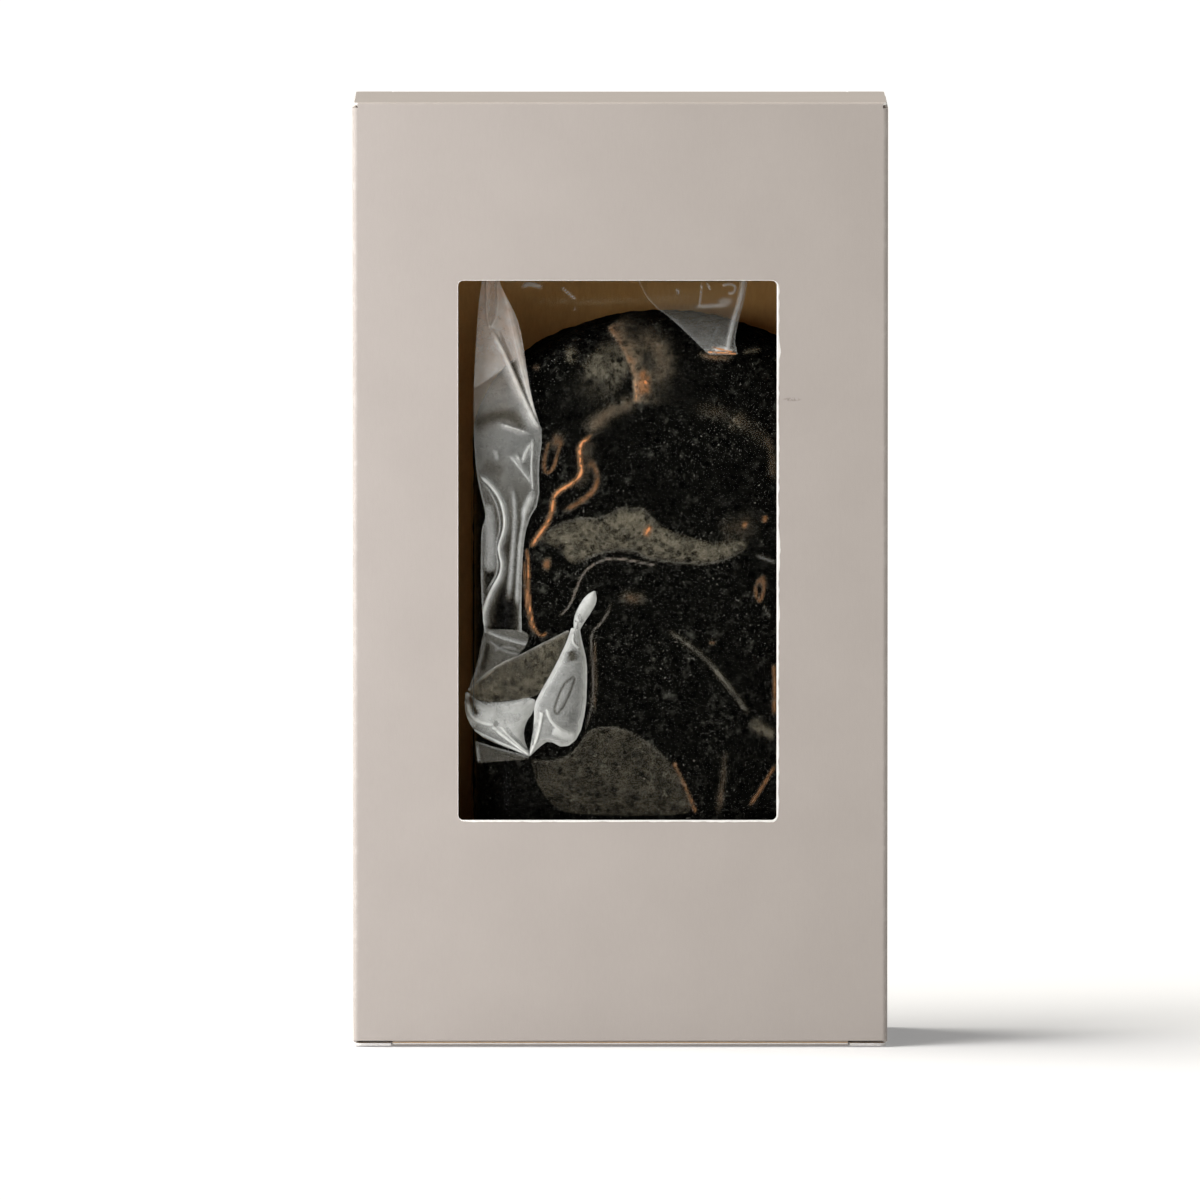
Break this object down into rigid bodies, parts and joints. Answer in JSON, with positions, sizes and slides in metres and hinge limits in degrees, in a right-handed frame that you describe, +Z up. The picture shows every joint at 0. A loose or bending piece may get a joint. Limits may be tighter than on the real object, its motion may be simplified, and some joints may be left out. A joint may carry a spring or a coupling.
{
  "type": "konjac sponge in window carton",
  "caption": "Upright paperboard window carton with tuck-in lids at both ends, holding a dark rounded konjac sponge in a loose clear film bag.",
  "frame": {"origin": "middle of the carton's base, on the plane it stands on", "axes": "+Z up the carton, -Y out of the windowed front panel, +X to the right as seen from the front"},
  "size_m": [0.095, 0.038, 0.168],
  "materials": {
    "carton_board": "matte",
    "sponge_foam": "matte",
    "clear_film": "gloss"
  },
  "bodies": {
    "sleeve": {"front_panel": "carton_board", "back_panel": "carton_board", "left_side_panel": "carton_board", "right_side_panel": "carton_board", "glue_flap": "carton_board"},
    "top_lid": {"top_lid": "carton_board"},
    "top_tuck": {"top_tuck_flap": "carton_board"},
    "top_dust_left": {"top_dust_flap_left": "carton_board"},
    "top_dust_right": {"top_dust_flap_right": "carton_board"},
    "bottom_lid": {"bottom_lid": "carton_board"},
    "bottom_tuck": {"bottom_tuck_flap": "carton_board"},
    "bottom_dust_left": {"bottom_dust_flap_left": "carton_board"},
    "bottom_dust_right": {"bottom_dust_flap_right": "carton_board"},
    "pack": {"sponge": "sponge_foam", "film_bag": "clear_film", "bag_top_fold": "clear_film", "bag_bottom_seal": "clear_film", "bag_back_seam": "clear_film", "bag_side_fold": "clear_film"}
  },
  "joints": [
    {"name": "top_lid_fold", "type": "hinge", "parent": "sleeve", "child": "top_lid", "pos_m": [0, -0.0186, 0.1676], "axis": [1, 0, 0], "range_deg": [0, 180]},
    {"name": "top_tuck_fold", "type": "hinge", "parent": "top_lid", "child": "top_tuck", "pos_m": [0, 0.0177, 0.1676], "axis": [1, 0, 0], "range_deg": [0, 36]},
    {"name": "top_dust_left_fold", "type": "hinge", "parent": "sleeve", "child": "top_dust_left", "pos_m": [-0.0471, 0, 0.167], "axis": [0, -1, 0], "range_deg": [0, 90]},
    {"name": "top_dust_right_fold", "type": "hinge", "parent": "sleeve", "child": "top_dust_right", "pos_m": [0.0471, 0, 0.167], "axis": [0, 1, 0], "range_deg": [0, 90]},
    {"name": "bottom_lid_fold", "type": "hinge", "parent": "sleeve", "child": "bottom_lid", "pos_m": [0, 0.0186, 0.0004], "axis": [1, 0, 0], "range_deg": [0, 180]},
    {"name": "bottom_tuck_fold", "type": "hinge", "parent": "bottom_lid", "child": "bottom_tuck", "pos_m": [0, -0.0177, 0.0004], "axis": [1, 0, 0], "range_deg": [0, 36]},
    {"name": "bottom_dust_left_fold", "type": "hinge", "parent": "sleeve", "child": "bottom_dust_left", "pos_m": [-0.0471, 0, 0.001], "axis": [0, 1, 0], "range_deg": [0, 90]},
    {"name": "bottom_dust_right_fold", "type": "hinge", "parent": "sleeve", "child": "bottom_dust_right", "pos_m": [0.0471, 0, 0.001], "axis": [0, -1, 0], "range_deg": [0, 90]},
    {"name": "pack_slide", "type": "slide", "parent": "sleeve", "child": "pack", "axis": [0, 0, 1], "range_m": [0, 0.018]}
  ],
  "couplings": [
    {"joint": "top_tuck_fold", "follows": "top_lid_fold", "ratio": 0.2},
    {"joint": "top_dust_left_fold", "follows": "top_lid_fold", "ratio": 0.5},
    {"joint": "top_dust_right_fold", "follows": "top_lid_fold", "ratio": 0.5},
    {"joint": "bottom_tuck_fold", "follows": "bottom_lid_fold", "ratio": 0.2},
    {"joint": "bottom_dust_left_fold", "follows": "bottom_lid_fold", "ratio": 0.5},
    {"joint": "bottom_dust_right_fold", "follows": "bottom_lid_fold", "ratio": 0.5}
  ]
}
